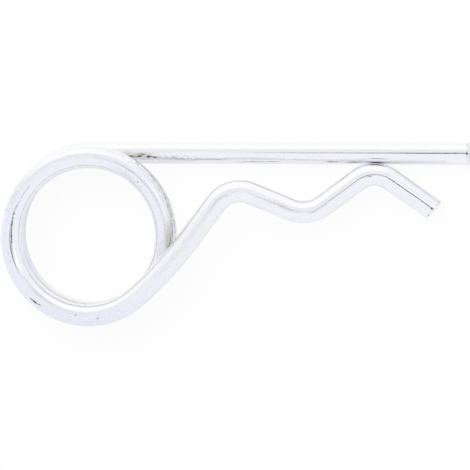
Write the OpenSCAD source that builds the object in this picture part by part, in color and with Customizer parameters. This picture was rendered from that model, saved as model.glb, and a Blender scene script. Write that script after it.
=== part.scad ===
// R clip with a double coil, bent from one length of round spring wire.
// It lies flat: +X runs out along the straight leg to its free end, +Y points away from
// the wave leg, +Z is up through the coil, and z = 0 is the surface it lies on. The
// middle of the first turn of the coil is at x = 0, y = 0.

/* [Wire] */
// Diameter of the spring wire
wire_d = 4; // [3.5:0.1:4.2]
// Break round the cut edge at the free end of the straight leg
leg_break = 0.3; // [0.1:0.05:0.5]
// Edge rolled over by the shear at the tip of the wave leg
tip_break = 0.45; // [0.2:0.05:0.6]
// Slant of the sheared face at the tip, in degrees
tip_slant = 10; // [0:1:14]

/* [Coil] */
// Radius of the first turn, to the middle of the wire
turn1_r = 14.45; // [14:0.05:15]
// Radius while the wire crosses from the first turn up to the second
cross_r = 13.95; // [13.5:0.05:14.5]
// Radius of the second turn, to the middle of the wire
turn2_r = 14.2; // [13.8:0.05:14.8]
// Turns wound between the straight leg and the wave leg
coil_turns = 1.61; // [1.6:0.005:1.63]
// Air between one turn and the next, measured along the coil
turn_gap = 0.2; // [0.15:0.05:0.5]

/* [Straight leg] */
// From the middle of the coil to the free end
leg_len = 68; // [60:0.5:75]

/* [Wave leg] */
// Length over which the wire eases out of the coil, each side of the corner
ease_len = 7.5; // [6.5:0.1:8.5]
// From the middle of the coil to the first crest
crest_x = 27.6; // [26.5:0.1:28.5]
// Clear gap between the straight leg and the first crest
crest_gap = 3; // [2.4:0.1:3.6]
// Bend radius of the first crest, to the middle of the wire
crest_r = 5.4; // [4.5:0.05:6]
// From the middle of the coil to the pin seat
seat_x = 38.7; // [37.5:0.1:40]
// Clear gap between the straight leg and the pin seat
seat_gap = 6.55; // [6:0.05:7.2]
// Bend radius of the pin seat, to the middle of the wire
seat_r = 6.15; // [5.4:0.05:6.6]
// From the middle of the coil to the nip, where the second crest meets the straight leg
nip_x = 51.3; // [50.5:0.1:53]
// Gap left between the wires at the nip
nip_gap = 0.06; // [0.04:0.02:0.3]
// Bend radius at the nip, to the middle of the wire
nip_r = 4.95; // [4.2:0.05:5.5]
// Slope of the lead-in at the tip, in degrees
lead_a = 34.2; // [30:0.2:38]
// Length of the straight lead-in
lead_len = 9.5; // [8:0.25:12]

/* [Hidden] */
// Half the wire, and how much thinner every second stretch of it is so that the
// stretches run into each other and join cleanly
wire_r = wire_d / 2;
thin = 0.01;
lap = 0.15;
// Height of the tip's middle above that of the straight leg
tip_lift = 0.1;
// Radius of the small upward set where the straight leg runs into the coil
set_r = 30;
// The coil is laid out as short bends: so many in all, so many of them at the first
// turn's radius, and so many at the radius of the crossing
coil_bends = 12;
turn1_bends = 5;
cross_bends = 2;
$fn = 32;

// ---- frames: a 4 x 4 matrix whose x axis runs along the wire and whose y axis
// ---- points to the middle of the next bend
function moved(x, y = 0, z = 0) = [[1, 0, 0, x], [0, 1, 0, y], [0, 0, 1, z], [0, 0, 0, 1]];
function rolled(a) = [[1, 0, 0, 0], [0, cos(a), -sin(a), 0], [0, sin(a), cos(a), 0],
                      [0, 0, 0, 1]];
function turned(a) = [[cos(a), -sin(a), 0, 0], [sin(a), cos(a), 0, 0], [0, 0, 1, 0],
                      [0, 0, 0, 1]];
function bent(r, a) = moved(0, r) * turned(a) * moved(0, -r);
function from_axes(t, n, b, p) = [[t.x, n.x, b.x, p.x], [t.y, n.y, b.y, p.y],
                                  [t.z, n.z, b.z, p.z], [0, 0, 0, 1]];
function along(m) = [m[0][0], m[1][0], m[2][0]];
function place(m) = [m[0][3], m[1][3], m[2][3]];
function unit(v) = v / norm(v);

// ---- coil: a close-wound rise of one wire and a gap per turn, leaned over so that
// ---- the far side of its first turn lies on the same surface as the straight leg
rise = (wire_d + turn_gap) / 360 * 180 / PI;
// ---- (it touches down where the angle wound, in radians, is the tangent of its half)
function touchdown(a = 180, tries = 20) = tries == 0 ? a : touchdown(2 * atan(a * PI / 180), tries - 1);
bend_a = 360 * coil_turns / coil_bends;
set_a = atan(rise / turn1_r);
set_len = set_r * tan(set_a / 2);
lean = atan(rise / (turn1_r * sin(touchdown())));
function bend_r(i) = i < turn1_bends ? turn1_r : i < turn1_bends + cross_bends ? cross_r : turn2_r;
function twist(r) = rise * r / (r * r + rise * rise) * bend_a;

leg_start = from_axes([-1, 0, 0], [0, -1, 0], [0, 0, 1], [leg_len, turn1_r, wire_r]);
leg_run = leg_len - set_len;
set_start = leg_start * moved(leg_run) * rolled(90);
coil_start = set_start * bent(set_r, set_a) * rolled(-90 - lean + twist(turn1_r) / 2);
coil_at = [for (i = 0, m = coil_start; i <= coil_bends;
                m = m * bent(bend_r(i), bend_a) * rolled(twist(bend_r(i))), i = i + 1) m];

// ---- wave leg: its bends all lie in one plane, which falls from the top of the coil
// ---- to the tip; u runs down that plane and v along Y, both from the corner where
// ---- the line of the coil's end meets it
coil_end = coil_at[coil_bends];
corner = place(coil_end) + ease_len * along(coil_end);
tip_x = nip_x + nip_r * sin(lead_a) + lead_len * cos(lead_a);
fall = atan((corner.z - wire_r - tip_lift) / (tip_x - corner.x));
u_axis = [cos(fall), 0, -sin(fall)];
v_axis = [0, 1, 0];
w_axis = cross(u_axis, v_axis);
function in_plane(x, y) = [(x - corner.x) / cos(fall), y - corner.y];
function heading(a) = cos(a) * u_axis + sin(a) * v_axis;
function wave_frame(p, a, side) =
    from_axes(heading(a), side * cross(w_axis, heading(a)), side * w_axis,
              corner + p.x * u_axis + p.y * v_axis);

// Middles of the three bends; the nip's is set by the two wires touching there, with
// the wave leg riding a little above the straight leg
nip_rise = corner.z - (nip_x - corner.x) * tan(fall) - wire_r;
nip_drop = sqrt(pow(wire_d + nip_gap, 2) - pow(nip_rise, 2));
crest_c = in_plane(crest_x, turn1_r - wire_d - crest_gap - crest_r);
seat_c = in_plane(seat_x, turn1_r - wire_d - seat_gap + seat_r);
nip_c = in_plane(nip_x, turn1_r - nip_drop - nip_r);

// Headings of the straight runs between them
function bearing(v) = atan2(v.y, v.x);
rise_a = bearing(crest_c) + asin(crest_r / norm(crest_c));
fall_a = bearing(seat_c - crest_c) - asin((crest_r + seat_r) / norm(seat_c - crest_c));
climb_a = bearing(nip_c - seat_c) + asin((seat_r + nip_r) / norm(nip_c - seat_c));
function left(a) = [-sin(a), cos(a)];
function ahead(a) = [cos(a), sin(a)];

// The easing bend joins the coil's end to the first run without a kink
ease_a = acos(along(coil_end) * heading(rise_a));
ease_r = ease_len / tan(ease_a / 2);
ease_b = unit(cross(along(coil_end), heading(rise_a)));
ease_start = from_axes(along(coil_end), cross(ease_b, along(coil_end)), ease_b,
                       place(coil_end));

run1_at = ease_len * ahead(rise_a);
run1_len = sqrt(pow(norm(crest_c), 2) - pow(crest_r, 2)) - ease_len;
run2_at = crest_c + crest_r * left(fall_a);
run2_end = seat_c - seat_r * left(fall_a);
run3_at = seat_c - seat_r * left(climb_a);
run3_end = nip_c + nip_r * left(climb_a);
lead_at = nip_c + nip_r * left(-lead_a);

// ---- the whole wire as stretches: [frame, length] is straight, [frame, radius, angle]
// ---- is bent
stretches = concat(
    [[set_start, set_r, set_a]],
    [for (i = [0 : coil_bends - 1]) [coil_at[i], bend_r(i), bend_a]],
    [[ease_start, ease_r, ease_a],
     [wave_frame(run1_at, rise_a, 1), run1_len],
     [wave_frame(crest_c + crest_r * left(rise_a), rise_a, -1), crest_r, rise_a - fall_a],
     [wave_frame(run2_at, fall_a, 1), norm(run2_end - run2_at)],
     [wave_frame(run2_end, fall_a, 1), seat_r, climb_a - fall_a],
     [wave_frame(run3_at, climb_a, 1), norm(run3_end - run3_at)],
     [wave_frame(run3_end, climb_a, -1), nip_r, climb_a + lead_a]]);

// One straight or bent stretch of wire; a thinner one runs on into both neighbours
module stretch(s, r, over) {
    multmatrix(s[0])
    if (len(s) == 2)
        translate([-over, 0, 0])
        rotate([0, 90, 0])
        cylinder(r = r, h = s[1] + 2 * over);
    else
        translate([0, s[1], 0])
        rotate([0, 0, -90 - over / s[1] * 180 / PI])
        rotate_extrude(angle = s[2] + 2 * over / s[1] * 180 / PI, $fn = 72)
        translate([s[1], 0])
        circle(r = r);
}

// A straight end of the wire, starting at the given frame, with its edge broken
module wire_end(m, length, edge, r, over) {
    multmatrix(m)
    rotate([0, 90, 0])
    rotate_extrude()
    polygon([[0, -over], [r, -over], [r, length - edge], [r - edge, length], [0, length]]);
}

// The tip is sheared a little off square, so its outer side is the longer one
module lead_in() {
    long = lead_len + wire_r * tan(tip_slant);
    intersection() {
        wire_end(wave_frame(lead_at, -lead_a, 1), long, tip_break, wire_r - thin, lap);
        multmatrix(wave_frame(lead_at, -lead_a, 1))
        translate([lead_len, 0, 0])
        rotate([0, 0, -tip_slant])
        translate([-2 * lead_len, -wire_d, -wire_d])
        cube([2 * lead_len, 2 * wire_d, 2 * wire_d]);
    }
}

module clip() {
    color("#c9ccd3")
    union() {
        wire_end(leg_start * moved(leg_run) * turned(180), leg_run, leg_break, wire_r, 0);
        for (i = [0 : len(stretches) - 1])
            stretch(stretches[i], wire_r - (i % 2 == 0 ? thin : 0), i % 2 == 0 ? lap : 0);
        lead_in();
    }
}

clip();
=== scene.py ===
import math

import bpy
import numpy as np
from mathutils import Matrix, Vector, noise


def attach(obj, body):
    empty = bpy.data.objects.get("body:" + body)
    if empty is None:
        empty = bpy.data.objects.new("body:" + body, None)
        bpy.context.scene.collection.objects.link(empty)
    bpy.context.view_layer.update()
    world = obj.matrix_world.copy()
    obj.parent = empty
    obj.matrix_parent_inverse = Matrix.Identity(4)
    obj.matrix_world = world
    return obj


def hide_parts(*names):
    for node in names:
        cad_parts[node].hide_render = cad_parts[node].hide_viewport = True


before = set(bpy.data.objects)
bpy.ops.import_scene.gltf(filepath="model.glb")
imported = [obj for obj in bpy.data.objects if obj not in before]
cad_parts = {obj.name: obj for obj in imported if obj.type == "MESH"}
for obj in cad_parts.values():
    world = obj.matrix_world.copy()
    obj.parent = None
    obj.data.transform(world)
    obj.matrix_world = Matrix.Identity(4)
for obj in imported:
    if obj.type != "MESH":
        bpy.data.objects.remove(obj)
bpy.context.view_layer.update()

# ======================================================================================
# The run of the wire. One length of round spring steel wire is cut off with a shear and
# bent cold round pins: a straight leg, a coil of 1.6 turns and a wave leg that falls in
# one plane from the top of the coil to the tip. Sizes are in mm and angles in radians.
# ======================================================================================
WIRE_R = 2.0
LEG_LEN = 68.0
SET_R = 30.0
TURN1_R = 14.45
CROSS_R = 13.95
TURN2_R = 14.2
COIL_TURNS = 1.61
TURN_GAP = 0.2
COIL_BENDS = 12
TURN1_BENDS = 5
CROSS_BENDS = 2
EASE_LEN = 7.5
CREST_X = 27.6
CREST_GAP = 3.0
CREST_R = 5.4
SEAT_X = 38.7
SEAT_GAP = 6.55
SEAT_R = 6.15
NIP_X = 51.3
NIP_GAP = 0.06
NIP_R = 4.95
LEAD_A = math.radians(34.2)
LEAD_LEN = 9.5
# How much higher the middle of the wire ends at the tip than it lies in the straight leg
TIP_LIFT = 0.1


def moved(x, y=0.0):
    return Matrix.Translation((x, y, 0.0))


def rolled(angle):
    return Matrix.Rotation(angle, 4, "X")


def bent(radius, angle):
    return moved(0, radius) @ Matrix.Rotation(angle, 4, "Z") @ moved(0, -radius)


def axes(ahead, inward, place):
    """A frame on the wire: ahead runs along it, and inward points to the middle of a bend."""
    ahead, inward = Vector(ahead), Vector(inward)
    turn = Matrix((ahead, inward, ahead.cross(inward))).transposed()
    return Matrix.Translation(place) @ turn.to_4x4()


# The straight leg is followed from its free end to the coil. A coil rises one wire and a
# gap per turn, and leans so that the far side of its first turn lies on the table too:
# it touches down where the angle wound is twice the arc tangent of itself, which is found
# by putting it in again until it stays the same.
SETTLING_TRIES = 20
rise = (2 * WIRE_R + TURN_GAP) / math.tau
touchdown = math.pi
for _ in range(SETTLING_TRIES):
    touchdown = 2 * math.atan(touchdown)
lean = math.atan(rise / (TURN1_R * math.sin(touchdown)))
set_a = math.atan(rise / TURN1_R)
leg_run = LEG_LEN - SET_R * math.tan(set_a / 2)
bend_a = math.tau * COIL_TURNS / COIL_BENDS


def twist(radius):
    return rise * radius / (radius * radius + rise * rise) * bend_a


leg_start = axes((-1, 0, 0), (0, -1, 0), (LEG_LEN, TURN1_R, WIRE_R))
at = leg_start @ moved(leg_run) @ rolled(math.pi / 2)
stretches = [(leg_start, leg_run, None), (at, SET_R * set_a, SET_R)]
at = at @ bent(SET_R, set_a) @ rolled(twist(TURN1_R) / 2 - lean - math.pi / 2)
for bend in range(COIL_BENDS):
    radius = TURN2_R
    if bend < TURN1_BENDS:
        radius = TURN1_R
    elif bend < TURN1_BENDS + CROSS_BENDS:
        radius = CROSS_R
    stretches.append((at, radius * bend_a, radius))
    at = at @ bent(radius, bend_a) @ rolled(twist(radius))
coil_end = at

# The wave leg lies in one plane. Its two axes are slope, down the plane away from the
# coil, and across, level and square to it. Its corner is where the line of the coil's
# end meets it.
coil_ahead = coil_end.to_3x3() @ Vector((1, 0, 0))
corner = coil_end.translation + EASE_LEN * coil_ahead
tip_x = NIP_X + NIP_R * math.sin(LEAD_A) + LEAD_LEN * math.cos(LEAD_A)
fall = math.atan((corner.z - WIRE_R - TIP_LIFT) / (tip_x - corner.x))
slope = Vector((math.cos(fall), 0, -math.sin(fall)))
across = Vector((0, 1, 0))


def in_plane(x, y):
    return Vector(((x - corner.x) / math.cos(fall), y - corner.y))


def heading(angle):
    return Vector((math.cos(angle), math.sin(angle)))


def left_of(angle):
    return Vector((-math.sin(angle), math.cos(angle)))


def bearing(vector):
    return math.atan2(vector.y, vector.x)


def in_space(vector):
    return vector.x * slope + vector.y * across


def wave_at(place, angle, side):
    """A frame on the wave leg, whose next bend is on its left for side 1 and right for -1."""
    inward = side * in_space(left_of(angle))
    return axes(in_space(heading(angle)), inward, corner + in_space(place))


# The crest and the seat stand off the straight leg by their gaps. At the nip the wires all
# but touch, and the wave leg rides a little above the straight leg.
nip_rise = corner.z - (NIP_X - corner.x) * math.tan(fall) - WIRE_R
nip_drop = math.sqrt((2 * WIRE_R + NIP_GAP) ** 2 - nip_rise**2)
crest = in_plane(CREST_X, TURN1_R - 2 * WIRE_R - CREST_GAP - CREST_R)
seat = in_plane(SEAT_X, TURN1_R - 2 * WIRE_R - SEAT_GAP + SEAT_R)
nip = in_plane(NIP_X, TURN1_R - nip_drop - NIP_R)
rise_a = bearing(crest) + math.asin(CREST_R / crest.length)
fall_a = bearing(seat - crest) - math.asin((CREST_R + SEAT_R) / (seat - crest).length)
climb_a = bearing(nip - seat) + math.asin((SEAT_R + NIP_R) / (nip - seat).length)

# The easing bend joins the coil's end to the first run, then runs and bends take turns.
first_run = in_space(heading(rise_a))
ease_a = coil_ahead.angle(first_run)
ease_r = EASE_LEN / math.tan(ease_a / 2)
ease_in = coil_ahead.cross(first_run).normalized().cross(coil_ahead)
run1 = EASE_LEN * heading(rise_a)
run1_end = crest + CREST_R * left_of(rise_a)
run2 = crest + CREST_R * left_of(fall_a)
run2_end = seat - SEAT_R * left_of(fall_a)
run3 = seat - SEAT_R * left_of(climb_a)
run3_end = nip + NIP_R * left_of(climb_a)
lead = nip + NIP_R * left_of(-LEAD_A)
stretches += [
    (axes(coil_ahead, ease_in, coil_end.translation), ease_r * ease_a, ease_r),
    (wave_at(run1, rise_a, 1), (run1_end - run1).length, None),
    (wave_at(run1_end, rise_a, -1), CREST_R * (rise_a - fall_a), CREST_R),
    (wave_at(run2, fall_a, 1), (run2_end - run2).length, None),
    (wave_at(run2_end, fall_a, 1), SEAT_R * (climb_a - fall_a), SEAT_R),
    (wave_at(run3, climb_a, 1), (run3_end - run3).length, None),
    (wave_at(run3_end, climb_a, -1), NIP_R * (climb_a + LEAD_A), NIP_R),
    (wave_at(lead, -LEAD_A, 1), LEAD_LEN, None),
]

# ======================================================================================
# The wire itself: one skin all along that run. The bending pins leave a flat inside each
# tight bend, and the nicks and cut ends are in the skin too. Round the wire, an angle of 0
# is its top and a quarter turn is its left, looking from the straight leg's free end.
# ======================================================================================
RING_STEP = 0.3
SIDES = 64
# The skin is a hair under the wire's size, which keeps it inside the box round the solid
UNDER_SIZE = 0.015
SKIN_R = WIRE_R - UNDER_SIZE
# How deep a pin presses, and up to what radius a bend is tight
PIN_FLAT = 0.05
TIGHT_BEND = 8.0
# Every flat ends long before the cosine is this small, so it only keeps clear of zero
LEAST_COSINE = 0.5
# The drawn wire's faint ripple: half its depth, and its length along the wire
RIPPLE = 0.004
RIPPLE_LEN = 5.0

# Nicks and pits, in mm and degrees: along, around, length, width, depth
NICKS = [
    (193.0, -27, 0.8, 0.30, 0.07),
    (193.8, -28, 1.0, 0.42, 0.10),
    (194.7, -24, 0.8, 0.30, 0.07),
    (195.6, -15, 0.6, 0.16, 0.04),
    (201.7, -1, 0.7, 0.24, 0.05),
    (201.1, 4, 0.3, 0.18, 0.03),
    (205.7, -20, 0.9, 0.22, 0.06),
    (183.9, -9, 0.35, 0.20, 0.03),
    (185.5, -11, 0.3, 0.16, 0.03),
    (176.5, -40, 0.4, 0.18, 0.03),
    (151.2, 36, 0.5, 0.22, 0.04),
    (150.5, 15, 0.3, 0.16, 0.03),
    (147.6, 16, 0.4, 0.20, 0.03),
    (146.4, 20, 0.5, 0.20, 0.03),
    (242.6, -76, 0.6, 0.40, 0.07),
    (240.2, -35, 0.3, 0.25, 0.04),
    (250.2, -15, 0.6, 0.13, 0.03),
    (59.4, 23, 0.8, 0.28, 0.08),
    (58.9, 12, 0.9, 0.16, 0.06),
    (57.7, 24, 0.9, 0.32, 0.07),
    (56.6, 28, 0.7, 0.20, 0.05),
]
# How strong the grime in each nick is
NICK_GRIME = 0.9
# What lies on the plate or has worn it, and painted shade and reflections, in the same order
# but with its strength last
FILMS = {
    # Dark marks, mostly painted shade and painted reflections: painted contact shadow at the
    # nip, the board's shadow mirrored along the straight leg's lower edge, the legs mirrored
    # dark on the coil's outer side, and dark lines near the tops of the coil where it mirrors
    # the camera. Also dark strokes at the root where the leg meets the coil, and dark rings
    # just behind both cut ends
    "grime_and_painted_shade": [
        (60.6, 20, 2.2, 0.45, 0.34),
        (61.5, 8, 1.0, 0.3, 0.26),
        (59.4, 24, 1.0, 0.26, 0.40),
        (61.3, 24, 1.6, 0.28, 0.50),
        (55.5, 20, 5.0, 0.6, 0.20),
        (16.3, 75, 3.4, 0.6, 0.45),
        (267.0, 60, 2.6, 0.5, 0.90),
        (57.6, 28, 1.2, 0.34, 0.22),
        (55.0, 31, 3.4, 0.22, 0.45),
        (58.4, 29, 1.6, 0.30, 0.24),
        (51.5, 35.5, 6.5, 0.21, 0.66),
        (47.0, 40, 6.0, 0.17, 0.40),
        (44.0, 42, 6.0, 0.20, 0.55),
        (39.0, 55, 6.0, 0.40, 0.60),
        (35.0, 54, 3.6, 0.40, 0.48),
        (134.7, -25, 0.6, 0.30, 0.55),
        (136.6, -50, 5.2, 0.26, 0.60),
        (135.7, -40, 2.0, 0.18, 0.50),
        (149.8, -5, 6.0, 0.15, 0.34),
        (144.2, -4, 6.5, 0.16, 0.44),
        (150.2, -76, 5.0, 0.5, 0.34),
        (147.8, -60, 5.0, 0.5, 0.24),
        (139.0, -9, 6.0, 0.16, 0.42),
        (24.4, 55, 3.6, 0.45, 0.64),
        (20.6, 57.5, 3.6, 0.45, 0.74),
        (171.5, 15.5, 7.0, 0.19, 0.50),
        (176.6, 12.2, 4.2, 0.28, 0.60),
        (179.4, 16, 4.0, 0.28, 0.66),
        (181.6, 18, 2.6, 0.28, 0.66),
        (189.5, 15, 9.0, 0.15, 0.45),
        (194.8, 20, 6.0, 0.16, 0.40),
        (0.30, 2, 0.45, 0.5, 0.85),
        (0.34, -50, 0.22, 3.2, 0.56),
        (0.34, 42, 0.22, 2.6, 0.46),
        (278.8, 2, 0.6, 0.5, 0.95),
        (279.2, 55, 0.35, 2.8, 0.5),
        (279.0, -40, 0.4, 2.4, 0.5),
    ],
    # Brown stain, where the wire rubbed or stayed wet. Some of it is painted shade: a brown
    # painted contact shadow at the nip, and a painted tint on the mirrored dark line along the
    # straight leg, the coil and the seat
    "stain_and_painted_shade": [
        (136.4, -27, 4.6, 1.4, 0.66),
        (59.0, 12, 3.6, 0.7, 0.8),
        (61.8, 10, 1.6, 1.0, 0.45),
        (194.4, 20, 6.0, 0.35, 0.5),
        (248.5, 3, 6.0, 0.5, 0.25),
        (31.0, 2, 18.0, 0.25, 0.25),
        (16.7, 70, 2.0, 0.5, 0.6),
        (267.0, 110, 2.0, 0.5, 0.6),
    ],
    # Plate rubbed grey, where the turns slid on each other and on the winding pin. Some of it
    # is painted shade: grey painted shade along the straight leg's lower edge by the coil, on
    # the wave leg's upper rim where it mirrors the straight leg's shaded underside, on the
    # coil's outer side where it mirrors the legs, and on the dark line at the seat
    "rubbed_and_painted_shade": [
        (54.5, 28.5, 7.0, 0.75, 1.0),
        (48.5, 36, 9.0, 0.6, 0.7),
        (142.0, -66, 22.0, 1.7, 1.0),
        (133.5, 10, 5.0, 2.2, 0.5),
        (150.0, 30, 6.0, 1.0, 0.5),
        (226.0, -12, 12.0, 1.6, 0.14),
        (233.5, 20, 6.0, 1.2, 0.1),
        (173.0, -30, 8.0, 1.2, 0.4),
        (249.5, 0, 5.0, 0.6, 0.5),
        (243.0, 82, 46.0, 0.9, 0.85),
    ],
    # Plate that dried dull
    "dull": [
        (57.0, -4, 9.0, 2.4, 0.7),
        (142.0, -10, 26.0, 4.0, 0.5),
        (227.0, -5, 18.0, 5.0, 1.0),
        (246.0, 0, 7.0, 3.0, 0.35),
        (259.5, -5, 10.0, 3.0, 0.2),
    ],
    # Where the film is bluer, most of it on the coil. All of the blue is painted shade too, as
    # it lies only on the side away from the window, below
    "blue_and_painted_shade": [
        (172.0, -70, 32.0, 5.4, 0.9),
        (203.0, -30, 28.0, 6.0, 0.7),
        (120.0, 60, 60.0, 8.0, 0.5),
    ],
    # The sheared faces: the rings of the cut ends say how torn they are, below
    "torn": [],
}
# Painted shade: the side away from the window, where the film is painted bluest, how blue
# it still is a quarter turn from there, and how fast that falls further round. From 1 up it
# is as blue as it gets.
SHADE_SIDE_WAY = (0.35, -0.94, 0.0)
QUARTER_TURN_BLUE = 1.25
BLUE_FALL = 2.5
# How much of the blue is there away from the coil
BLUE_ALL_OVER = 0.3

# Each ring's distance along the wire, its frame, and how hard a bending pin pressed there,
# which is most in the middle of a bend
rings = []
wire_len = 0.0
for start, length, radius in stretches:
    steps = round(length / RING_STEP)
    for i in range(steps):
        done = length * i / steps
        here = start @ (bent(radius, done / radius) if radius else moved(done))
        pressed = math.sin(math.pi * i / steps) ** 2 if radius and radius < TIGHT_BEND else 0.0
        rings.append((wire_len + done, here, pressed))
    wire_len += length
tip_end = stretches[-1][0] @ moved(LEAD_LEN)

around = np.arange(SIDES) * math.tau / SIDES


def bump_at(along, mark):
    """How strongly a nick or stain shows at each point of the ring at this distance along."""
    middle, angle, length, width, strength = mark
    turn = (around - math.radians(angle) + math.pi) % math.tau - math.pi
    reach = ((along - middle) / (length / 2)) ** 2 + (turn * WIRE_R / (width / 2)) ** 2
    return strength * np.exp(-reach)


def ring_axes(here):
    """The way along the wire, the wire's top and its left, whichever way its frame is rolled."""
    ahead = here.to_3x3() @ Vector((1, 0, 0))
    top = (Vector((0, 0, 1)) - ahead.z * ahead).normalized()
    return ahead, top, top.cross(ahead)


def skin(along, here, pressed):
    """Radius of the wire's skin round one ring. Ripple, flats and nicks only take away."""
    ahead, top, left = ring_axes(here)
    radii = np.full(SIDES, SKIN_R)
    for i, angle in enumerate(around):
        spot = Vector((along / RIPPLE_LEN, math.cos(angle), math.sin(angle)))
        radii[i] += RIPPLE * (noise.noise(spot) - 1)
    inward = here.to_3x3() @ Vector((0, 1, 0))
    turn = around - math.atan2(inward.dot(left), inward.dot(top))
    flat = (SKIN_R - PIN_FLAT * pressed) / np.maximum(np.cos(turn), LEAST_COSINE)
    if pressed:
        radii = np.minimum(radii, flat)
    for nick in NICKS:
        radii -= bump_at(along, nick)
    return radii


# Each point of the skin, where it was on the straight wire, and the strength of each film,
# painted shade included
points, drawn, marks = [], [], []


def add_ring(along, here, radii, shift=0.0, torn=0.0):
    """One ring of points, moved ahead by shift, with its place on the wire and its films and painted
    shade.
    """
    ahead, top, left = ring_axes(here)
    out = np.outer(np.cos(around), top) + np.outer(np.sin(around), left)
    shift = np.broadcast_to(shift, SIDES)
    ring = np.array(here.translation) + radii[:, None] * out + shift[:, None] * np.array(ahead)
    points.extend(ring)
    along = along + shift
    drawn.extend(np.column_stack((along, radii * np.cos(around), radii * np.sin(around))))
    films = {name: sum(bump_at(along, mark) for mark in FILMS[name]) for name in FILMS}
    in_nicks = sum(bump_at(along, nick[:4] + (NICK_GRIME,)) for nick in NICKS)
    films["grime_and_painted_shade"] = films["grime_and_painted_shade"] + in_nicks
    # The blue is painted shade on the side facing away from the window
    shade_side = QUARTER_TURN_BLUE + BLUE_FALL * (out @ np.array(SHADE_SIDE_WAY))
    on_coil = (1 - BLUE_ALL_OVER) * np.minimum(films["blue_and_painted_shade"], 1)
    films["blue_and_painted_shade"] = np.clip(shade_side, 0, 1) * (BLUE_ALL_OVER + on_coil)
    films["torn"] = np.full(SIDES, torn)
    marks.extend(np.column_stack(list(films.values())))


# Cut ends. The shear rolls the edge over on the side where it enters and leaves it sharp on
# the other, and the broken face is grainy. The tip is cut a little off square, with its
# left side the longer one.
# The wire's own rings stop this far from its ends, and those of the cut ends take over
END_CLEAR = 0.55
LEG_BREAK = 0.3
TIP_BREAK = 0.45
TIP_SLANT = math.radians(10)
SHARP_EDGE = 0.08
# A higher power keeps more of the tip's edge sharp
SHARP_POWER = 1.5
# How torn the rolled edge looks where it meets the face, where the face itself is 1
EDGE_TORN = 0.5
EDGE_RINGS = 6
FACE_RINGS = 8
# Half the depth of the broken face's grain, how fine it is, coarser than real so that it
# shows, and the power with which it fades out towards the edge
FACE_GRAIN = 0.03
GRAINS_PER_MM = 2.5
GRAIN_FADE = 4


def end_rings(along, here, edge, slant, way):
    """The rings of one cut end from its face's middle outwards: radii, shift, how torn.

    way is 1 where the wire runs away from the face and -1 where it comes up to it.
    """
    lean_over = math.tan(slant) * np.sin(around)
    for i in range(1, FACE_RINGS + 1):
        radii = (SKIN_R - edge) * i / FACE_RINGS
        inside_rim = 1 - (i / FACE_RINGS) ** GRAIN_FADE
        grain = np.zeros(SIDES)
        for j, angle in enumerate(around):
            spot = Vector((along, radii[j] * math.cos(angle), radii[j] * math.sin(angle)))
            grain[j] = FACE_GRAIN * (1 + noise.noise(spot * GRAINS_PER_MM)) * inside_rim
        yield radii, way * grain + lean_over * radii, 1.0
    for i in range(1, EDGE_RINGS + 1):
        to_face = 1 - i / EDGE_RINGS
        roll = math.pi / 2 * to_face
        radii = SKIN_R - edge * (1 - math.cos(roll))
        set_back = way * edge * (1 - math.sin(roll))
        yield radii, set_back + lean_over * radii, EDGE_TORN * to_face


start_here = rings[0][1]
leg_edge = np.full(SIDES, LEG_BREAK)
for radii, shift, torn in end_rings(0.0, start_here, leg_edge, 0.0, 1):
    add_ring(0.0, start_here, radii, shift, torn)
for along, here, pressed in rings:
    if END_CLEAR <= along <= wire_len - END_CLEAR:
        add_ring(along, here, skin(along, here, pressed))
to_left = (1 + np.sin(around)) / 2
tip_edge = SHARP_EDGE + (TIP_BREAK - SHARP_EDGE) * to_left**SHARP_POWER
tip_rings = list(end_rings(wire_len, tip_end, tip_edge, TIP_SLANT, -1))
for radii, shift, torn in reversed(tip_rings):
    add_ring(wire_len, tip_end, radii, shift, torn)

ring_count = len(points) // SIDES
faces = []
for ring in range(ring_count - 1):
    for side in range(SIDES):
        a = ring * SIDES + side
        b = ring * SIDES + (side + 1) % SIDES
        faces.append((a, a + SIDES, b + SIDES, b))
for ring, backwards in ((0, False), (ring_count - 1, True)):
    rim = np.array(points[ring * SIDES:(ring + 1) * SIDES])
    rim_drawn = np.array(drawn[ring * SIDES:(ring + 1) * SIDES])
    middle = len(points)
    points.append(rim.mean(0))
    drawn.append(rim_drawn.mean(0))
    marks.append([float(name == "torn") for name in FILMS])
    for side in range(SIDES):
        a = ring * SIDES + side
        b = ring * SIDES + (side + 1) % SIDES
        faces.append((middle, b, a) if backwards else (middle, a, b))

# Blender works in metres
MM = 0.001
mesh = bpy.data.meshes.new("clip_wire")
mesh.from_pydata([tuple(MM * p) for p in np.array(points)], [], faces)
mesh.shade_smooth()
on_straight_wire = mesh.attributes.new("drawn", "FLOAT_VECTOR", "POINT")
on_straight_wire.data.foreach_set("vector", np.array(drawn, np.float32).ravel())
for i, name in enumerate(FILMS):
    values = np.array([m[i] for m in marks], np.float32).clip(0, 1)
    mesh.attributes.new(name, "FLOAT", "POINT").data.foreach_set("value", values)
wire = bpy.data.objects.new("clip_wire", mesh)
bpy.context.scene.collection.objects.link(wire)


def colour(code):
    """An sRGB hex colour as the linear colour that a shader takes."""
    parts = [int(code[i:i + 2], 16) / 255 for i in (1, 3, 5)]
    return [p / 12.92 if p <= 0.04045 else ((p + 0.055) / 1.055) ** 2.4 for p in parts] + [1.0]


def node(tree, kind, inputs=None, **settings):
    """Adds a shader node with its settings, and sets or links each of its inputs."""
    made = tree.nodes.new(kind)
    for name, value in settings.items():
        setattr(made, name, value)
    for name, value in (inputs or {}).items():
        if isinstance(value, bpy.types.NodeSocket):
            tree.links.new(value, made.inputs[name])
        else:
            made.inputs[name].default_value = value
    return made


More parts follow.
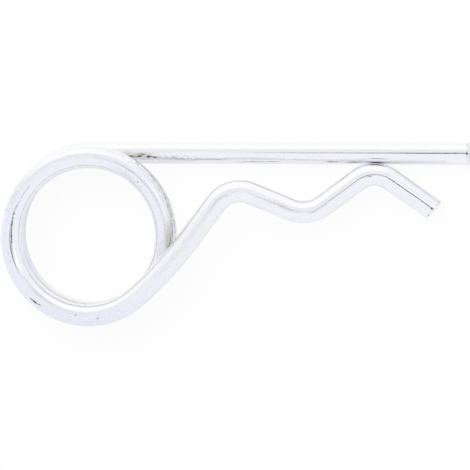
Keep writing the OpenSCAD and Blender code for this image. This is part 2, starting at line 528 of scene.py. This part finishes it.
# Bright zinc plate on drawn spring steel, with a clear blue chromate film. The eye sees
# close to a mirror with a cool lavender cast, finely mottled, duller and greyer where it
# rubbed and on the torn faces of the cut ends. The steel's drawing lines run along it. The
# lavender cast is painted shade on the side away from the window, and the grime, stain and
# rubbed grey hold painted shade and painted reflections as well.
FILM_PLAIN = "#F7F7F9"
BLUE_FILM_AND_SHADE = "#E2E5F6"
FILM_ROSE = "#F2F0F6"
RUBBED_AND_SHADE_GREY = "#B9B7BC"
SPECKS = "#B6B5C6"
TORN_GREY = "#D2D1D6"
STAIN_AND_SHADE_BROWN = "#ABA06E"
GRIME_AND_PAINTED_SHADE = "#1E1E20"
# Each fine pattern's size across the wire in mm, how many times longer it is along the wire,
# its detail, and the noise levels that become 0 and 1. Real drawing lines, grain and specks
# are too fine to show, so these are coarser.
PATTERNS = {
    "cloud": (0.8, 2.5, 4.0, 0.30, 0.45),
    "rose": (0.5, 2.0, 3.0, 0.45, 0.70),
    "streak": (0.2, 4.0, 3.0, 0.42, 0.62),
    "grain": (0.35, 1.0, 3.0, 0.30, 0.70),
    "lines": (0.22, 50.0, 2.0, 0.30, 0.70),
    "specks": (0.22, 1.6, 2.0, 0.54, 0.70),
}
# Wear and dirt take hold unevenly: the pattern that breaks each up, and the least that stays
BROKEN_BY = {
    "blue_and_painted_shade": ("cloud", 0.6),
    "rubbed_and_painted_shade": ("streak", 0.0),
    "stain_and_painted_shade": ("grain", 0.45),
    "torn": ("grain", 0.2),
}
# How strongly the rosy mottle and the specks show. The specks show only where the blue
# painted shade lies
ROSE_SHARE = 0.6
SPECK_SHARE = 0.4
# Grime and painted shade show less on the grain's high spots, and these strengths become
# none and full
GRIME_AND_SHADE_OFF_GRAIN = -0.3
GRIME_AND_SHADE_FROM = 0.1
GRIME_AND_SHADE_FULL = 0.6
# The plate's roughness at the two ends of its grain, and what each film adds to it
PLATE_ROUGH = (0.07, 0.12)
DULL_ROUGH = 0.36
RUBBED_AND_SHADE_ROUGH = 0.1
STAIN_AND_SHADE_ROUGH = 0.15
TORN_ROUGH = 0.3
GRIME_AND_SHADE_ROUGH = 0.3
# How deep the drawing lines and the grain are, in metres
RELIEF = 0.0000008

zinc = bpy.data.materials.new("bright_zinc_on_spring_steel")
zinc.use_nodes = True
tree = zinc.node_tree
tree.nodes.clear()
on_wire = node(tree, "ShaderNodeAttribute", attribute_name="drawn").outputs["Vector"]
marked = {}
for name in FILMS:
    marked[name] = node(tree, "ShaderNodeAttribute", attribute_name=name).outputs["Fac"]
pattern = {}
for name, (size, stretch, detail, low, high) in PATTERNS.items():
    scale = (1 / (size * stretch), 1 / size, 1 / size)
    place = node(tree, "ShaderNodeMapping", {"Vector": on_wire, "Scale": scale}).outputs[0]
    fine = node(tree, "ShaderNodeTexNoise", {"Vector": place, "Scale": 1.0, "Detail": detail})
    levels = {"Value": fine.outputs["Fac"], "From Min": low, "From Max": high}
    pattern[name] = node(tree, "ShaderNodeMapRange", levels).outputs[0]

broken_up = {}
for name, (by, least) in BROKEN_BY.items():
    share = {"Value": pattern[by], "To Min": least, "To Max": 1.0}
    share = node(tree, "ShaderNodeMapRange", share).outputs[0]
    share = node(tree, "ShaderNodeMath", {0: marked[name], 1: share}, operation="MULTIPLY")
    broken_up[name] = share.outputs[0]
rosy = node(tree, "ShaderNodeMath", {0: pattern["rose"], 1: ROSE_SHARE}, operation="MULTIPLY")
specked = {0: pattern["specks"], 1: marked["blue_and_painted_shade"]}
specked = node(tree, "ShaderNodeMath", specked, operation="MULTIPLY").outputs[0]
specked = node(tree, "ShaderNodeMath", {0: specked, 1: SPECK_SHARE}, operation="MULTIPLY")
dark_level = {0: pattern["grain"], 1: GRIME_AND_SHADE_OFF_GRAIN, 2: marked["grime_and_painted_shade"]}
dark_level = node(tree, "ShaderNodeMath", dark_level, operation="MULTIPLY_ADD").outputs[0]
dark_share = {"Value": dark_level, "From Min": GRIME_AND_SHADE_FROM, "From Max": GRIME_AND_SHADE_FULL}
dark_share = node(tree, "ShaderNodeMapRange", dark_share).outputs[0]
# The blue, rubbed grey, stain and grime layers hold painted shade and painted reflections as well as
# film, wear and dirt
layers = [
    (broken_up["blue_and_painted_shade"], BLUE_FILM_AND_SHADE),
    (rosy.outputs[0], FILM_ROSE),
    (specked.outputs[0], SPECKS),
    (broken_up["torn"], TORN_GREY),
    (broken_up["rubbed_and_painted_shade"], RUBBED_AND_SHADE_GREY),
    (broken_up["stain_and_painted_shade"], STAIN_AND_SHADE_BROWN),
    (dark_share, GRIME_AND_PAINTED_SHADE),
]
film = colour(FILM_PLAIN)
for share, code in layers:
    mix = {"Fac": share, "Color1": film, "Color2": colour(code)}
    film = node(tree, "ShaderNodeMixRGB", mix).outputs[0]
rough = {"Value": pattern["grain"], "To Min": PLATE_ROUGH[0], "To Max": PLATE_ROUGH[1]}
rough = node(tree, "ShaderNodeMapRange", rough).outputs[0]
rougher = [
    (marked["dull"], DULL_ROUGH),
    (broken_up["rubbed_and_painted_shade"], RUBBED_AND_SHADE_ROUGH),
    (broken_up["stain_and_painted_shade"], STAIN_AND_SHADE_ROUGH),
    (broken_up["torn"], TORN_ROUGH),
    (dark_share, GRIME_AND_SHADE_ROUGH),
]
for share, more in rougher:
    added = {0: share, 1: more, 2: rough}
    rough = node(tree, "ShaderNodeMath", added, operation="MULTIPLY_ADD").outputs[0]
relief = node(tree, "ShaderNodeBump", {"Height": pattern["lines"], "Distance": RELIEF}).outputs[0]
relief = {"Height": pattern["grain"], "Distance": RELIEF, "Normal": relief}
relief = node(tree, "ShaderNodeBump", relief).outputs[0]
plate = node(
    tree,
    "ShaderNodeBsdfPrincipled",
    {"Base Color": film, "Metallic": 1.0, "Roughness": rough, "Normal": relief},
)
node(tree, "ShaderNodeOutputMaterial", {"Surface": plate.outputs[0]})
mesh.materials.append(zinc)

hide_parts("clip")
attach(wire, "root")

# ======================================================================================
# The table: a matt white board that the clip lies on. A share of what the camera and the
# wire's mirror see of it is plain white in any light, and the rest keeps the clip's soft
# shadow. Its size is in metres, as are those of the studio.
# ======================================================================================
BOARD_SIZE = 4.0
PLAIN_WHITE = "#FFFFFF"
# How much of the shadow is left, seen straight and mirrored in the wire
SHADOW_SEEN = 0.08
SHADOW_MIRRORED = 0.5

board_mesh = bpy.data.meshes.new("board")
half = BOARD_SIZE / 2
corners = [(-half, -half, 0), (half, -half, 0), (half, half, 0), (-half, half, 0)]
board_mesh.from_pydata(corners, [], [(0, 1, 2, 3)])
board = bpy.data.objects.new("board", board_mesh)
bpy.context.scene.collection.objects.link(board)
board_white = bpy.data.materials.new("matt_white_board")
board_white.use_nodes = True
tree = board_white.node_tree
tree.nodes.clear()
ray = node(tree, "ShaderNodeLightPath").outputs
matt = node(tree, "ShaderNodeBsdfDiffuse", {"Color": colour(PLAIN_WHITE)}).outputs[0]
glow = node(tree, "ShaderNodeEmission", {"Color": colour(PLAIN_WHITE)}).outputs[0]
seen = {0: ray["Is Camera Ray"], 1: 1 - SHADOW_SEEN}
seen = node(tree, "ShaderNodeMath", seen, operation="MULTIPLY")
mirrored = {0: ray["Is Glossy Ray"], 1: 1 - SHADOW_MIRRORED}
mirrored = node(tree, "ShaderNodeMath", mirrored, operation="MULTIPLY")
white = node(tree, "ShaderNodeMath", {0: seen.outputs[0], 1: mirrored.outputs[0]}, operation="ADD")
face = node(tree, "ShaderNodeMixShader", {0: white.outputs[0], 1: matt, 2: glow}).outputs[0]
node(tree, "ShaderNodeOutputMaterial", {"Surface": face})
board_mesh.materials.append(board_white)

# ======================================================================================
# The studio: even white all round, a big soft window high up on the straight leg's side
# and a white reflector overhead beyond the free end. The bright wire mirrors all three. A
# lamp at the window, which the wire doesn't mirror, lights the board.
# ======================================================================================
# How strongly the white all round lights the board, where the white that is seen is 1
AROUND_LEVEL = 0.5
BOARD_LAMP_WATTS = 9.0
# The lamp hangs just in front of the window's cloth, at this share of its distance
LAMP_IN_FRONT = 0.98
WINDOW_SIZE = (2.0, 1.7)
WINDOW_FROM = Vector((-0.20, 0.74, 0.64))
WINDOW_AWAY = 0.8
# How bright each panel is at its head and from its middle down, where plain white is 1
WINDOW_LEVELS = (0.87, 1.09)
# How high above a panel's middle its head starts and the change to its middle ends, and how
# far from its middle it has faded into the white round it and hasn't faded yet. All four
# are shares of its half size.
HEAD_FROM = 0.55
MIDDLE_TO = 0.0
FADED_FROM = 1.0
WHOLE_TO = 0.2
REFLECTOR_SIZE = (0.70, 0.90)
REFLECTOR_FROM = Vector((0.40, 0.24, 0.90))
REFLECTOR_AWAY = 1.1
REFLECTOR_LEVELS = (1.20, 1.20)

world = bpy.data.worlds.new("studio")
bpy.context.scene.world = world
world.use_nodes = True
tree = world.node_tree
tree.nodes.clear()
ray = node(tree, "ShaderNodeLightPath").outputs
seen = {0: ray["Is Camera Ray"], 1: ray["Is Glossy Ray"]}
seen = node(tree, "ShaderNodeMath", seen, operation="MAXIMUM").outputs[0]
seen = {0: seen, 1: ray["Is Transmission Ray"]}
seen = node(tree, "ShaderNodeMath", seen, operation="MAXIMUM").outputs[0]
level = {"Value": seen, "To Min": AROUND_LEVEL, "To Max": 1.0}
level = node(tree, "ShaderNodeMapRange", level)
sky = {"Color": colour(PLAIN_WHITE), "Strength": level.outputs[0]}
sky = node(tree, "ShaderNodeBackground", sky)
node(tree, "ShaderNodeOutputWorld", {"Surface": sky.outputs[0]})


def soft_panel(name, size, way, away, levels):
    """A lit cloth that faces the clip and fades into the white round it at its edges."""
    w = size[0] / 2
    h = size[1] / 2
    panel_mesh = bpy.data.meshes.new(name)
    panel_mesh.from_pydata([(-w, -h, 0), (w, -h, 0), (w, h, 0), (-w, h, 0)], [], [(0, 3, 2, 1)])
    panel = bpy.data.objects.new(name, panel_mesh)
    bpy.context.scene.collection.objects.link(panel)
    panel.location = away * way.normalized()
    panel.rotation_euler = way.to_track_quat("Z", "Y").to_euler()
    panel.visible_camera = False
    cloth = bpy.data.materials.new("lit_white_cloth_of_" + name)
    cloth.use_nodes = True
    tree = cloth.node_tree
    tree.nodes.clear()
    spot = node(tree, "ShaderNodeTexCoord").outputs["Object"]
    spot = {"Vector": spot, "Scale": (1 / w, 1 / h, 1)}
    spot = node(tree, "ShaderNodeMapping", spot).outputs[0]
    from_middle = node(tree, "ShaderNodeVectorMath", {0: spot}, operation="LENGTH")
    from_middle = from_middle.outputs["Value"]
    fade = {"Value": from_middle, "From Min": FADED_FROM, "From Max": WHOLE_TO}
    fade = node(tree, "ShaderNodeMapRange", fade, interpolation_type="SMOOTHSTEP").outputs[0]
    up = node(tree, "ShaderNodeSeparateXYZ", {0: spot}).outputs["Y"]
    level = {
        "Value": up,
        "From Min": HEAD_FROM,
        "From Max": MIDDLE_TO,
        "To Min": levels[0],
        "To Max": levels[1],
    }
    level = node(tree, "ShaderNodeMapRange", level, interpolation_type="SMOOTHSTEP").outputs[0]
    level = {"Value": fade, "To Min": 1.0, "To Max": level}
    level = node(tree, "ShaderNodeMapRange", level).outputs[0]
    lit = {"Color": colour(PLAIN_WHITE), "Strength": level}
    lit = node(tree, "ShaderNodeEmission", lit).outputs[0]
    node(tree, "ShaderNodeOutputMaterial", {"Surface": lit})
    panel_mesh.materials.append(cloth)
    return panel


soft_panel("reflector", REFLECTOR_SIZE, REFLECTOR_FROM, REFLECTOR_AWAY, REFLECTOR_LEVELS)
window = soft_panel("window", WINDOW_SIZE, WINDOW_FROM, WINDOW_AWAY, WINDOW_LEVELS)
beam = bpy.data.lights.new("window_light", "AREA")
beam.shape = "RECTANGLE"
beam.size, beam.size_y = WINDOW_SIZE
beam.energy = BOARD_LAMP_WATTS
lamp = bpy.data.objects.new("window_light", beam)
bpy.context.scene.collection.objects.link(lamp)
lamp.location = LAMP_IN_FRONT * window.location
lamp.rotation_euler = window.rotation_euler
lamp.visible_camera = False
lamp.visible_glossy = False

# ======================================================================================
# The camera looks down on the clip and is swung out towards its free end. Its dark body is
# a card above the lens, which the wire mirrors as a thin dark line. The card is cut to give
# that line its ends and widths, and isn't a real camera's outline. Sizes are in mm again.
# ======================================================================================
# What the camera looks at, and how far it is swung from straight above that and rolled
LOOK_AT = Vector((25.85, -0.318, 2.0))
SWUNG_OUT = math.radians(12.0)
SWUNG_UP = math.radians(0.25)
ROLL = math.radians(0.5)
CAMERA_AWAY = 483.0
# A picture this many pixels wide shows each mm at the look-at point this many pixels long
PICTURE = 470
SHOWN_PER_MM = 5.58
SENSOR = 36.0
# Nothing nearer than this, in metres, is shown
NEAREST_SHOWN = 0.01

back = Vector((math.tan(SWUNG_OUT), math.tan(SWUNG_UP), 1)).normalized()
right = Vector((0, 1, 0)).cross(back).normalized()
look = Matrix((right, back.cross(right), back)).transposed().to_4x4()
lens = bpy.data.cameras.new("camera")
lens.sensor_width = SENSOR
lens.lens = SENSOR * SHOWN_PER_MM * CAMERA_AWAY / PICTURE
lens.clip_start = NEAREST_SHOWN
camera = bpy.data.objects.new("camera", lens)
bpy.context.scene.collection.objects.link(camera)
lens_at = Matrix.Translation(MM * (LOOK_AT + CAMERA_AWAY * back))
camera.matrix_world = lens_at @ look @ Matrix.Rotation(ROLL, 4, "Z")
bpy.context.scene.camera = camera
bpy.context.scene.view_settings.view_transform = "Standard"

CAMERA_BLACK = "#101014"
BODY_ABOVE = 12.0
# The card's outline: x from over the coil's middle and y from the lens
BODY_OUTLINE = [
    (-75, 0), (-50, 14), (-35, 18), (-14, 28), (-2, 46), (9, 64), (10, 1), (50, 1), (58, 3), (74, 4),
    (94, 30), (124, 62), (140, 74), (134, 46), (126, 8), (122, -18), (113, -34), (109, -48), (112, -95),
    (122, -120), (122, -168), (116, -260), (108, -168), (106, -120), (102, -95), (98, -48), (95, -26),
    (84, -4), (74, -3), (58, -3), (50, -1), (10, -1), (9, -56), (-3, -42), (-14, -30), (-35, -18),
    (-50, -14),
]

card_mesh = bpy.data.meshes.new("camera_body")
outline = [(MM * x, MM * y, 0) for x, y in BODY_OUTLINE]
card_mesh.from_pydata(outline, [], [range(len(outline))])
card = bpy.data.objects.new("camera_body", card_mesh)
bpy.context.scene.collection.objects.link(card)
card.location = (0, camera.location.y, camera.location.z + MM * BODY_ABOVE)
card_black = bpy.data.materials.new("matt_black_camera")
card_black.use_nodes = True
tree = card_black.node_tree
tree.nodes.clear()
black = node(tree, "ShaderNodeBsdfDiffuse", {"Color": colour(CAMERA_BLACK)}).outputs[0]
node(tree, "ShaderNodeOutputMaterial", {"Surface": black})
card_mesh.materials.append(card_black)
